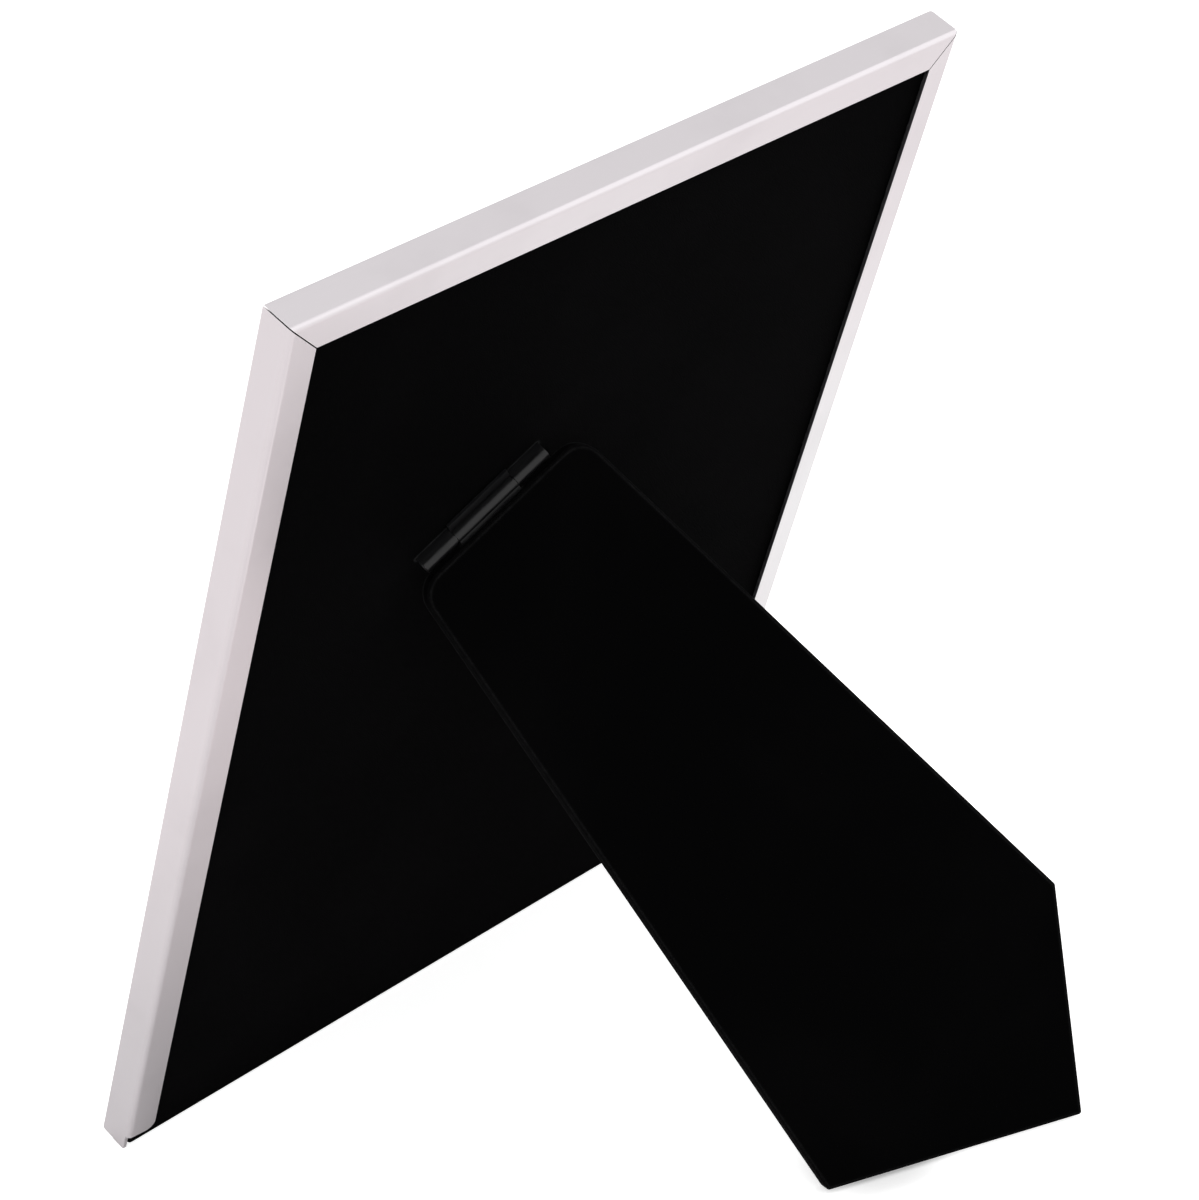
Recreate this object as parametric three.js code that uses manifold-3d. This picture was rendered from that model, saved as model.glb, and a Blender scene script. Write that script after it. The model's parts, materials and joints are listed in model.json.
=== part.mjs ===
// Picture frame for a 15 x 20 cm photograph: a slim mitred metal channel and a velvet easel back with a two-way strut.
//
// Lengths are millimetres. The frame is modelled lying on its back: x to the right seen from the front, y up the
// picture, and z towards the viewer, with z = 0 on the back of the channel. At the end it is stood up, leaning back
// on its open strut, with +Z up and the origin under the middle of its box.

import * as THREE from "three";
import { mergeVertices } from "three/addons/utils/BufferGeometryUtils.js";
import Module from "manifold-3d";

const degrees = THREE.MathUtils.degToRad;

// Picture and glass
const pictureWidth = 150;
const pictureHeight = 200;
const glassThickness = 2;
const glassArris = 0.2;
const insertThickness = 0.25;
const layerGap = 0.15;

// Metal channel, folded from sheet
const sheet = 0.8;
const lip = 5.9;
const bendRadius = 1;
const insideBendRadius = 0.2;
const mitreGap = 0.2;
const notchHeight = 3.7;
const notchRadius = 2;

// Corner keys
const keyThickness = 0.8;
const keyLeg = 18;
const keyPlay = 0.2;
const keyBendRadius = 1;

// Easel back
const boardThickness = 2.25;
const boardCornerRadius = 1;
const velvetThickness = 0.5;
const velvetEdge = 0.25;
const liningThickness = 0.15;
const liningMargin = 1.5;
const boardPlay = 0.3;
const slidePlay = 0.2;
const glueLine = 0.05;

// Strut: the hinge lies below the top edge and to one side of the middle, and the strut points past a bottom corner
const hingeDrop = 65.3;
const hingeOffset = 21;
const footOffset = 11.3;
const openAngle = degrees(41.4);
const strutWidth = 38.4;
const strutShift = 1.3;
const strutTaper = degrees(6.4);
const strutTopRadius = 5;
const footRadius = 0.6;
const strutBoardThickness = 2.3;
const strutVelvetThickness = 0.45;
const strutLiningThickness = 0.15;
const strutTopGap = 0.12;
const foldGap = 0.4;

// Hinge
const leafSheet = 0.55;
const leafSink = 0.3;
const pinRadius = 0.65;
const pinPlay = 0.1;
const barrelInset = 4.8;
const centreKnuckle = 14;
const knuckleGap = 0.12;
const stopGap = 0.3;
const stopFlap = 3.2;
const backLeafLength = 11;
const strutLeafLength = 15;
const leafCornerRadius = 1.5;
const leafPlay = 0.05;
const slitPlay = 0.3;

// Flush rivets
const rivetRadius = 0.8;
const rivetHeadRadius = 1.6;
const rivetHeadHeight = 0.4;
const rivetHeadLand = 0.1;
const rivetInset = 6.4;
const rivetEdge = 4;
const rivetPlay = 0.1;

// Facets along a fold or a rounded corner, over a soft edge, and round a small circle
const bendSegments = 4;
const edgeSegments = 2;
const roundSegments = 12;

// A cut runs this far past the face that it opens
const overrun = 2;

// Levels through the frame, from the back of the channel at 0 to its front
const velvetFace = sheet + slidePlay;
const velvetBase = velvetFace + velvetThickness;
const boardBack = velvetBase + glueLine;
const boardFront = boardBack + boardThickness;
const liningBack = boardFront + glueLine;
const liningFront = liningBack + liningThickness;
const insertBack = liningFront + layerGap;
const insertFront = insertBack + insertThickness;
const glassBack = insertFront + layerGap;
const glassFront = glassBack + glassThickness;
const channelDepth = glassFront + layerGap + sheet;

// Outline of the frame: each side of the picture has a corner key between it and the channel's web
const pictureMargin = sheet + keyPlay + keyThickness + keyPlay;
const outerWidth = pictureWidth + 2 * pictureMargin;
const outerHeight = pictureHeight + 2 * pictureMargin;

// Outline of the easel back, which slides in the channel
const boardHalfWidth = outerWidth / 2 - sheet - boardPlay;
const boardBottom = boardPlay;
const boardTop = outerHeight - sheet - boardPlay;

// Finishes
const satinSilver = { color: 0xd6d2d6, roughness: 0.35, metalness: 1 };
const keySteel = { color: 0x9a9a9c, roughness: 0.5, metalness: 1 };
const clearGlass = { color: 0xe4eeea, roughness: 0.05, metalness: 0 };
const whitePaper = { color: 0xf2f0ea, roughness: 0.9, metalness: 0 };
const fibreBoard = { color: 0x94816c, roughness: 0.95, metalness: 0 };
const blackPaper = { color: 0x1c1c1e, roughness: 0.9, metalness: 0 };
const blackVelvet = { color: 0x0a0a0b, roughness: 1, metalness: 0 };
const blackLacquer = { color: 0x161617, roughness: 0.4, metalness: 0.2 };
const pinSteel = { color: 0x6e6e70, roughness: 0.4, metalness: 1 };

const wasm = await Module();
wasm.setup();

// A closed geometry as a solid that can be joined and cut.
function solid(geometry) {
  const bare = geometry.clone();
  bare.deleteAttribute("normal");
  bare.deleteAttribute("uv");
  const merged = mergeVertices(bare);
  const mesh = new wasm.Mesh({
    numProp: 3,
    vertProperties: merged.attributes.position.array,
    triVerts: new Uint32Array(merged.index.array),
  });
  return new wasm.Manifold(mesh);
}

// A solid as a named mesh with its own material.
function piece(name, shape, finish) {
  const { vertProperties, triVerts } = shape.getMesh();
  const geometry = new THREE.BufferGeometry();
  geometry.setAttribute("position", new THREE.BufferAttribute(vertProperties, 3));
  geometry.setIndex(new THREE.BufferAttribute(triVerts, 1));
  const mesh = new THREE.Mesh(geometry, new THREE.MeshStandardMaterial(finish));
  mesh.name = name;
  return mesh;
}

// A block between two corners.
function block([x0, y0, z0], [x1, y1, z1]) {
  const box = new THREE.BoxGeometry(x1 - x0, y1 - y0, z1 - z0);
  box.translate((x0 + x1) / 2, (y0 + y1) / 2, (z0 + z1) / 2);
  return solid(box);
}

// An outline in x and y, extruded from one level to another, with its edges rounded where an edge radius is given.
function slab(outline, low, high, edge = 0) {
  const geometry = new THREE.ExtrudeGeometry(outline, {
    depth: high - low - 2 * edge,
    curveSegments: bendSegments,
    bevelEnabled: edge > 0,
    bevelThickness: edge,
    bevelSize: edge,
    bevelOffset: -edge,
    bevelSegments: edgeSegments,
  });
  geometry.translate(0, 0, low + edge);
  return solid(geometry);
}

// A section drawn in y and z, extruded along x.
function bar(section, from, to, segments) {
  const geometry = new THREE.ExtrudeGeometry(section, {
    depth: to - from,
    curveSegments: segments,
    bevelEnabled: false,
  });
  const alongX = new THREE.Vector3(1, 0, 0);
  const alongY = new THREE.Vector3(0, 1, 0);
  const alongZ = new THREE.Vector3(0, 0, 1);
  geometry.applyMatrix4(new THREE.Matrix4().makeBasis(alongY, alongZ, alongX));
  geometry.translate(from, 0, 0);
  return solid(geometry);
}

// Where two lines cross, each given by a point and a direction.
function crossing(first, second) {
  const apart = second.point.clone().sub(first.point);
  const share = apart.cross(second.along) / first.along.cross(second.along);
  return first.point.clone().addScaledVector(first.along, share);
}

// A closed convex outline with rounded corners, drawn a distance inside the corners given.
function roundedOutline(corners, inset = 0) {
  const turn = Math.sign(THREE.ShapeUtils.area(corners.map(({ point }) => point)));
  const edges = corners.map(({ point }, index) => {
    const along = corners[(index + 1) % corners.length].point.clone().sub(point).normalize();
    const inward = new THREE.Vector2(-along.y, along.x).multiplyScalar(turn);
    return { point, along, inward };
  });
  const movedIn = ({ point, along, inward }, distance) => {
    return { point: point.clone().addScaledVector(inward, distance), along };
  };
  const outline = new THREE.Shape();
  corners.forEach(({ radius }, index) => {
    const before = edges[(index + edges.length - 1) % edges.length];
    const after = edges[index];
    const arcRadius = Math.max(radius - inset, radius / 4);
    const centre = crossing(movedIn(before, inset + arcRadius), movedIn(after, inset + arcRadius));
    const startAngle = before.inward.clone().negate().angle();
    const endAngle = after.inward.clone().negate().angle();
    outline.absarc(centre.x, centre.y, arcRadius, startAngle, endAngle, turn < 0);
  });
  return outline;
}

// Velvet drawn over one face of a board and round its edges as far as the rim: a shallow tray with a rounded edge.
function facing(corners, face, base, rim) {
  const outside = slab(roundedOutline(corners), face, rim + velvetEdge, velvetEdge);
  const inside = slab(roundedOutline(corners, base - face), base, rim + overrun);
  const pastRim = slab(roundedOutline(corners, -overrun), rim, rim + overrun);
  return outside.subtract(inside).subtract(pastRim);
}

// The four corners of a rectangle, all with one radius.
function rectangle(x0, y0, x1, y1, radius) {
  const points = [
    new THREE.Vector2(x0, y0),
    new THREE.Vector2(x1, y0),
    new THREE.Vector2(x1, y1),
    new THREE.Vector2(x0, y1),
  ];
  return points.map((point) => ({ point, radius }));
}

// A flush rivet between two levels, countersunk at both ends, or the hole that it fits with some play all round.
function rivet(x, y, low, high, play = 0) {
  const profile = [
    new THREE.Vector2(0, low - play),
    new THREE.Vector2(rivetHeadRadius + play, low - play),
    new THREE.Vector2(rivetHeadRadius + play, low + rivetHeadLand),
    new THREE.Vector2(rivetRadius + play, low + rivetHeadHeight),
    new THREE.Vector2(rivetRadius + play, high - rivetHeadHeight),
    new THREE.Vector2(rivetHeadRadius + play, high - rivetHeadLand),
    new THREE.Vector2(rivetHeadRadius + play, high + play),
    new THREE.Vector2(0, high + play),
  ];
  const geometry = new THREE.LatheGeometry(profile, roundSegments);
  geometry.rotateX(Math.PI / 2);
  geometry.translate(x, y, 0);
  return solid(geometry);
}

// Rails. In a rail's own frame x runs along it from its middle, y inwards from its outer face, and z to the front.

// Section of the full channel: front lip, web and back lip, with rounded folds.
function channelSection() {
  const front = channelDepth;
  const section = new THREE.Shape();
  section.moveTo(lip, 0);
  section.lineTo(lip, sheet);
  section.absarc(
    sheet + insideBendRadius, sheet + insideBendRadius, insideBendRadius, -Math.PI / 2, -Math.PI, true,
  );
  section.absarc(
    sheet + insideBendRadius, front - sheet - insideBendRadius, insideBendRadius, Math.PI, Math.PI / 2, true,
  );
  section.lineTo(lip, front - sheet);
  section.lineTo(lip, front);
  section.absarc(bendRadius, front - bendRadius, bendRadius, Math.PI / 2, Math.PI, false);
  section.absarc(bendRadius, bendRadius, bendRadius, Math.PI, 1.5 * Math.PI, false);
  return section;
}

// Section of the bottom rail: the front lip and a web that stops short of the easel back, which slides past it.
function angleSection() {
  const front = channelDepth;
  const section = new THREE.Shape();
  section.moveTo(0, insertBack);
  section.lineTo(sheet, insertBack);
  section.absarc(
    sheet + insideBendRadius, front - sheet - insideBendRadius, insideBendRadius, Math.PI, Math.PI / 2, true,
  );
  section.lineTo(lip, front - sheet);
  section.lineTo(lip, front);
  section.absarc(bendRadius, front - bendRadius, bendRadius, Math.PI / 2, Math.PI, false);
  return section;
}

// What a mitre takes off one end of a rail, between two levels. The end is -1 or 1 along the rail.
function mitreCut(length, end, low, high) {
  const halfGap = mitreGap * Math.SQRT1_2;
  const reach = lip + overrun;
  const cut = new THREE.Shape();
  cut.moveTo(end * (length / 2 - reach - halfGap), reach);
  cut.lineTo(end * (length / 2 + overrun - halfGap), -overrun);
  cut.lineTo(end * (length / 2 + overrun), -overrun);
  cut.lineTo(end * (length / 2 + overrun), reach);
  return slab(cut, low, high);
}

// What the notch takes off a side rail's back lip and its fold at the bottom end, leaving a rounded corner.
function notchCut(length, end) {
  const stop = length / 2 - notchHeight;
  const corner = new THREE.Vector2(end * (stop - notchRadius), lip - notchRadius);
  const cut = new THREE.Shape();
  cut.moveTo(end * stop, -overrun);
  cut.lineTo(end * stop, corner.y);
  cut.absarc(corner.x, corner.y, notchRadius, end > 0 ? 0 : Math.PI, Math.PI / 2, end < 0);
  cut.lineTo(corner.x, lip + overrun);
  cut.lineTo(end * (length / 2 + overrun), lip + overrun);
  cut.lineTo(end * (length / 2 + overrun), -overrun);
  return slab(cut, -overrun, bendRadius);
}

function topRail() {
  const length = outerWidth;
  const wholeDepth = [-overrun, channelDepth + overrun];
  return bar(channelSection(), -length / 2, length / 2, bendSegments)
    .subtract(mitreCut(length, -1, ...wholeDepth))
    .subtract(mitreCut(length, 1, ...wholeDepth));
}

function bottomRail() {
  const length = outerWidth;
  const wholeDepth = [-overrun, channelDepth + overrun];
  return bar(angleSection(), -length / 2, length / 2, bendSegments)
    .subtract(mitreCut(length, -1, ...wholeDepth))
    .subtract(mitreCut(length, 1, ...wholeDepth));
}

// A side rail, mitred at the top through its whole depth, and at the bottom only where the bottom rail meets it.
function sideRail(bottomEnd) {
  const length = outerHeight;
  const front = channelDepth + overrun;
  return bar(channelSection(), -length / 2, length / 2, bendSegments)
    .subtract(mitreCut(length, -bottomEnd, -overrun, front))
    .subtract(mitreCut(length, bottomEnd, insertBack - mitreGap, front))
    .subtract(notchCut(length, bottomEnd));
}

// An L-shaped corner key with its bend at the origin and its legs along +x and +y, inside the folds of the rails.
function cornerKey() {
  const legEnd = keyLeg;
  const key = new THREE.Shape();
  key.moveTo(legEnd, 0);
  key.lineTo(legEnd, keyThickness);
  key.lineTo(keyThickness, keyThickness);
  key.lineTo(keyThickness, legEnd);
  key.lineTo(0, legEnd);
  key.absarc(keyBendRadius, keyBendRadius, keyBendRadius, Math.PI, 1.5 * Math.PI, false);
  return slab(key, insertBack, glassFront);
}

function glassPane() {
  const outline = new THREE.Shape();
  outline.moveTo(-pictureWidth / 2, pictureMargin);
  outline.lineTo(pictureWidth / 2, pictureMargin);
  outline.lineTo(pictureWidth / 2, pictureMargin + pictureHeight);
  outline.lineTo(-pictureWidth / 2, pictureMargin + pictureHeight);
  return slab(outline, glassBack, glassFront, glassArris);
}

function paperInsert() {
  return block(
    [-pictureWidth / 2, pictureMargin, insertBack],
    [pictureWidth / 2, pictureMargin + pictureHeight, insertFront],
  );
}

// Hinge place. Folded flat, the strut's foot corner covers a bottom corner of the frame, and its middle line passes
// the corner at the foot offset. That sets the slope of the hinge axis.
const cornerAcross = hingeOffset + outerWidth / 2;
const cornerDown = outerHeight - hingeDrop;
const cornerDistance = Math.hypot(cornerAcross, cornerDown);
const hingeSlope = Math.atan2(cornerAcross, cornerDown) - Math.asin(footOffset / cornerDistance);

// The knuckles are the leaves' sheet rolled round the pin, clear of the velvet by the gap of the stop.
const boreRadius = pinRadius + pinPlay;
const barrelRadius = boreRadius + leafSheet;
const hingeLevel = velvetFace - stopGap - barrelRadius;

// In the hinge's frame x runs along the axis, y down the folded strut and z to the front of the frame.
const hinge = new THREE.Group();
hinge.position.set(hingeOffset, cornerDown, hingeLevel);
hinge.rotation.z = Math.PI - hingeSlope;

// The strut's frame turns from there about x as the strut opens.
const strut = new THREE.Group();
strut.rotation.x = -openAngle;
hinge.add(strut);
hinge.updateMatrixWorld(true);

// Levels through the strut in its own frame, from the inner face down to the velvet on the outer face.
const strutInner = -foldGap - hingeLevel;
const strutBoardInner = strutInner - strutLiningThickness - glueLine;
const strutBoardOuter = strutBoardInner - strutBoardThickness;
const strutVelvetBase = strutBoardOuter - glueLine;
const strutOuter = strutVelvetBase - strutVelvetThickness;

// Foot of the strut. The table meets the strut's inner face along the foot's edges: one when the frame stands upright
// on the ends of its side rails, and one when it lies on its side on the web of a side rail.
const footCorner = new THREE.Vector2(footOffset, Math.sqrt(cornerDistance ** 2 - footOffset ** 2));
const footPoint = new THREE.Vector3(footCorner.x, footCorner.y, strutInner).applyMatrix4(strut.matrixWorld);
const lean = Math.atan2(footPoint.y, bendRadius - footPoint.z);

// Direction on the strut's face of the line where it meets a table through an edge of the frame and the foot corner.
function tableLine(edgePoint, edgeDirection) {
  const tableNormal = footPoint.clone().sub(edgePoint).cross(edgeDirection);
  tableNormal.transformDirection(strut.matrixWorld.clone().invert());
  return new THREE.Vector2(-tableNormal.y, tableNormal.x).normalize();
}

// Where a line from the foot corner meets a side of the strut, -1 or 1 across it.
function strutSide(direction, side) {
  const sideLine = {
    point: new THREE.Vector2(strutShift + (side * strutWidth) / 2, 0),
    along: new THREE.Vector2(side * Math.tan(strutTaper), 1),
  };
  return crossing(sideLine, { point: footCorner, along: direction });
}

const uprightLine = tableLine(new THREE.Vector3(0, 0, bendRadius), new THREE.Vector3(1, 0, 0));
const sidewaysLine = tableLine(new THREE.Vector3(-outerWidth / 2, 0, bendRadius), new THREE.Vector3(0, 1, 0));
const strutTop = barrelRadius + strutTopGap;
const strutTopHalf = strutWidth / 2 + strutTop * Math.tan(strutTaper);
const strutCorners = [
  { point: new THREE.Vector2(strutShift - strutTopHalf, strutTop), radius: strutTopRadius },
  { point: new THREE.Vector2(strutShift + strutTopHalf, strutTop), radius: strutTopRadius },
  { point: strutSide(sidewaysLine, 1), radius: footRadius },
  { point: footCorner, radius: footRadius },
  { point: strutSide(uprightLine, -1), radius: footRadius },
];

// Hinge leaves
const barrelHalf = strutWidth / 2 - barrelInset;
const centreHalf = centreKnuckle / 2;
const backLeafLow = boardBack + leafPlay - hingeLevel;
const backLeafHigh = backLeafLow + leafSheet;
const strutLeafLow = leafSink - barrelRadius;
const strutLeafHigh = strutLeafLow + leafSheet;
const strutLeafStart = strutTop + strutVelvetThickness + 2 * glueLine;
const strutLeafEnd = strutLeafStart + strutLeafLength;
const backRivetLine = -barrelRadius - backLeafLength + rivetEdge;
const strutRivetLine = strutLeafEnd - rivetEdge;
const rivetSides = [-barrelHalf + rivetInset, barrelHalf - rivetInset];

// Levels of the rivets: flush with the back leaf and the board's front, and with both faces of the strut's board.
const backRivetLow = backLeafLow;
const backRivetHigh = boardFront - glueLine - hingeLevel;
const strutRivetLow = strutBoardOuter + glueLine;
const strutRivetHigh = strutBoardInner - glueLine;

// A rolled knuckle round the pin, along a stretch of the axis.
function knuckle(from, to) {
  const ring = new THREE.Shape();
  ring.absarc(0, 0, barrelRadius, 0, 2 * Math.PI, false);
  const bore = new THREE.Path();
  bore.absarc(0, 0, boreRadius, 0, 2 * Math.PI, true);
  ring.holes.push(bore);
  return bar(ring, from, to, roundSegments);
}

// The stretches of the axis that hold the two outer knuckles.
const outerKnuckles = [
  [-barrelHalf, -centreHalf - knuckleGap],
  [centreHalf + knuckleGap, barrelHalf],
];

// The back leaf lies on the board under the velvet. Its outer knuckles stand on necks at the upper side of the barrel.
function backLeaf() {
  const plate = rectangle(
    -barrelHalf, -barrelRadius - backLeafLength, barrelHalf, -barrelRadius + leafSheet, leafCornerRadius,
  );
  let leaf = slab(roundedOutline(plate), backLeafLow, backLeafHigh);
  for (const [from, to] of outerKnuckles) {
    const neck = block([from, -barrelRadius, 0], [to, -barrelRadius + leafSheet, backLeafHigh]);
    leaf = leaf.add(knuckle(from, to)).add(neck);
  }
  for (const x of rivetSides) {
    leaf = leaf.subtract(rivet(x, backRivetLine, backRivetLow, backRivetHigh, rivetPlay));
  }
  return leaf;
}

// The strut's leaf leaves the middle knuckle a little below its crest and widens inside the strut. A flap at the other
// side of the knuckle meets the back and stops the strut.
function strutLeaf() {
  const plate = rectangle(-barrelHalf, strutLeafStart, barrelHalf, strutLeafEnd, leafCornerRadius);
  const neckEnd = strutLeafStart + leafCornerRadius;
  const neck = block([-centreHalf, boreRadius, strutLeafLow], [centreHalf, neckEnd, strutLeafHigh]);
  const flap = new THREE.BoxGeometry(centreKnuckle, stopFlap, leafSheet);
  flap.translate(0, -stopFlap / 2, barrelRadius - leafSheet / 2);
  flap.rotateX(openAngle);
  let leaf = slab(roundedOutline(plate), strutLeafLow, strutLeafHigh)
    .add(neck)
    .add(knuckle(-centreHalf, centreHalf))
    .add(solid(flap));
  for (const x of rivetSides) {
    leaf = leaf.subtract(rivet(x, strutRivetLine, strutRivetLow, strutRivetHigh, rivetPlay));
  }
  return leaf;
}

function hingePin() {
  const pin = new THREE.CylinderGeometry(pinRadius, pinRadius, 2 * barrelHalf, roundSegments);
  pin.rotateZ(Math.PI / 2);
  return solid(pin);
}

// A solid of the hinge's frame, moved to where it lies on the frame.
function fromHinge(shape) {
  return shape.transform(hinge.matrixWorld.elements);
}

// Easel back
const boardCorners = rectangle(-boardHalfWidth, boardBottom, boardHalfWidth, boardTop, boardCornerRadius);

// The board has a shallow bed for the back leaf and holes for its rivets.
function backBoard() {
  const bed = block(
    [-barrelHalf - slitPlay, -barrelRadius - backLeafLength - slitPlay, backLeafLow - overrun],
    [barrelHalf + slitPlay, -barrelRadius + leafSheet + slitPlay, backLeafHigh + leafPlay],
  );
  let board = slab(roundedOutline(boardCorners, velvetThickness + glueLine), boardBack, boardFront);
  board = board.subtract(fromHinge(bed));
  for (const x of rivetSides) {
    board = board.subtract(fromHinge(rivet(x, backRivetLine, backRivetLow, backRivetHigh, rivetPlay)));
  }
  return board;
}

function backLining() {
  return slab(roundedOutline(boardCorners, liningMargin), liningBack, liningFront);
}

// Velvet over the back and the edges of the board, with a slit for each neck of the hinge.
function backVelvet() {
  let velvet = facing(boardCorners, velvetFace, velvetBase, boardFront);
  for (const [from, to] of outerKnuckles) {
    const slit = block(
      [from - slitPlay / 2, -barrelRadius - slitPlay, 0],
      [to + slitPlay / 2, -barrelRadius + leafSheet + slitPlay, backLeafHigh],
    );
    velvet = velvet.subtract(fromHinge(slit));
  }
  return velvet;
}

// The strut's board has a kerf in its top edge for the leaf, and holes for the rivets.
function strutBoard() {
  const kerf = block(
    [-barrelHalf - slitPlay, 0, strutLeafLow - leafPlay],
    [barrelHalf + slitPlay, strutLeafEnd + slitPlay, strutLeafHigh + leafPlay],
  );
  const outline = roundedOutline(strutCorners, strutVelvetThickness + glueLine);
  let board = slab(outline, strutBoardOuter, strutBoardInner).subtract(kerf);
  for (const x of rivetSides) {
    board = board.subtract(rivet(x, strutRivetLine, strutRivetLow, strutRivetHigh, rivetPlay));
  }
  return board;
}

function strutLining() {
  const outline = roundedOutline(strutCorners, strutVelvetThickness + glueLine);
  return slab(outline, strutInner - strutLiningThickness, strutInner);
}

// Velvet over the outer face and the edges of the strut, with a slit in the top edge for the leaf's neck.
function strutVelvet() {
  const slit = block(
    [-centreHalf - slitPlay, 0, strutLeafLow - leafPlay],
    [centreHalf + slitPlay, strutTop + 2 * strutVelvetThickness, strutLeafHigh + leafPlay],
  );
  return facing(strutCorners, strutOuter, strutVelvetBase, strutInner).subtract(slit);
}

// Assembly
const frame = new THREE.Group();

// Turns a rail or a key about z and sets it at a point of the frame's outline.
function placed(mesh, x, y, turn) {
  mesh.position.set(x, y, 0);
  mesh.rotation.z = turn;
  return mesh;
}

const quarter = Math.PI / 2;
frame.add(placed(piece("bottom_rail", bottomRail(), satinSilver), 0, 0, 0));
frame.add(placed(piece("right_rail", sideRail(-1), satinSilver), outerWidth / 2, outerHeight / 2, quarter));
frame.add(placed(piece("top_rail", topRail(), satinSilver), 0, outerHeight, 2 * quarter));
frame.add(placed(piece("left_rail", sideRail(1), satinSilver), -outerWidth / 2, outerHeight / 2, -quarter));

const keyX = outerWidth / 2 - sheet - keyPlay;
const keyLow = sheet + keyPlay;
const keyHigh = outerHeight - sheet - keyPlay;
frame.add(placed(piece("corner_key_bottom_left", cornerKey(), keySteel), -keyX, keyLow, 0));
frame.add(placed(piece("corner_key_bottom_right", cornerKey(), keySteel), keyX, keyLow, quarter));
frame.add(placed(piece("corner_key_top_right", cornerKey(), keySteel), keyX, keyHigh, 2 * quarter));
frame.add(placed(piece("corner_key_top_left", cornerKey(), keySteel), -keyX, keyHigh, -quarter));

frame.add(piece("glass_pane", glassPane(), clearGlass));
frame.add(piece("paper_insert", paperInsert(), whitePaper));

const easelBack = new THREE.Group();
easelBack.add(piece("back_board", backBoard(), fibreBoard));
easelBack.add(piece("back_lining", backLining(), blackPaper));
easelBack.add(piece("back_velvet", backVelvet(), blackVelvet));
easelBack.add(hinge);
frame.add(easelBack);

hinge.add(piece("hinge_back_leaf", backLeaf(), blackLacquer));
hinge.add(piece("hinge_pin", hingePin(), pinSteel));
strut.add(piece("strut_board", strutBoard(), fibreBoard));
strut.add(piece("strut_lining", strutLining(), blackPaper));
strut.add(piece("strut_velvet", strutVelvet(), blackVelvet));
strut.add(piece("hinge_strut_leaf", strutLeaf(), blackLacquer));
rivetSides.forEach((x, index) => {
  const backRivet = rivet(x, backRivetLine, backRivetLow, backRivetHigh);
  const strutRivet = rivet(x, strutRivetLine, strutRivetLow, strutRivetHigh);
  hinge.add(piece(`back_leaf_rivet_${index + 1}`, backRivet, pinSteel));
  strut.add(piece(`strut_leaf_rivet_${index + 1}`, strutRivet, pinSteel));
});

// Stands the frame up on its strut, with the origin under the middle of its box.
frame.rotation.x = Math.PI / 2 - lean;
const pictureFrame = new THREE.Group();
pictureFrame.add(frame);
const box = new THREE.Box3().setFromObject(pictureFrame, true);
const centre = box.getCenter(new THREE.Vector3());
frame.position.set(-centre.x, -centre.y, -box.min.z);

export default pictureFrame;
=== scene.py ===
# %% [markdown]
# A picture frame seen from behind. Slim silver channels hold a pane of glass, and a board covered in
# black velvet slides in behind it. A hinged strut, covered in the same velvet, props the frame up on a
# table. The solids come ready made and stay where they are. This lesson gives them their finishes, and
# makes new meshes for the two velvet facings, which plain solids can't show well.

# %% Load the solids
import json
import math

import bmesh
import bpy
from mathutils import Matrix, Vector
from mathutils.geometry import area_tri, convex_hull_2d


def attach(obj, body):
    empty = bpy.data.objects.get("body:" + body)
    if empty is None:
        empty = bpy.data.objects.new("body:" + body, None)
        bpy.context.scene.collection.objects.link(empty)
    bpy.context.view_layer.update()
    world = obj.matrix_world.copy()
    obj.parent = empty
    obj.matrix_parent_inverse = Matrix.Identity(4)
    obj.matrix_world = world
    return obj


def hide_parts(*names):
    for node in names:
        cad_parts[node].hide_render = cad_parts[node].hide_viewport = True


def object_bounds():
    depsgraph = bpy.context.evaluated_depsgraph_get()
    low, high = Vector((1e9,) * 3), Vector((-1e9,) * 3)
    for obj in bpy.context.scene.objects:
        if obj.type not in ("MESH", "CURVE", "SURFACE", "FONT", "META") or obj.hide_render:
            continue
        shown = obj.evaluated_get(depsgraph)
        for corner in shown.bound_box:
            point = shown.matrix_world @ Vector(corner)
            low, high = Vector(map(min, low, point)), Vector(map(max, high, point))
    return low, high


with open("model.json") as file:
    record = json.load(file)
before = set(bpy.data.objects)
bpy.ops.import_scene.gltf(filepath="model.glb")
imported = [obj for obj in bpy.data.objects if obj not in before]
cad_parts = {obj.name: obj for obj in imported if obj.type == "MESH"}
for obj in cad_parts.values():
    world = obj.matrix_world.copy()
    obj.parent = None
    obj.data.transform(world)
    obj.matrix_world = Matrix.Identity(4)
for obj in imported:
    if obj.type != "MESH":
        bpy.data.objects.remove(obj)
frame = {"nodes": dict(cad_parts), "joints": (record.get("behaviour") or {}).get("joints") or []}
solids = frame["nodes"]
solid_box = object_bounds()
MM = 0.001
print("solids:", len(solids), "box:", [round(c / MM, 1) for c in solid_box[1] - solid_box[0]], "mm")

# %% [markdown]
# The camera comes first, so that every later look is judged from the right place. It stands behind the
# frame, above it and to one side, with a long lens. Its place was found by lining the solids up with the
# photograph's edges.

# %% Camera
CAMERA_PLACE = Vector((0.41405, 0.41020, 0.47111))
CAMERA_AIM = Vector((-0.00507, -0.01321, 0.10246))
CAMERA_ROLL = math.radians(-0.70)
LENS_MM = 118.34

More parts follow.
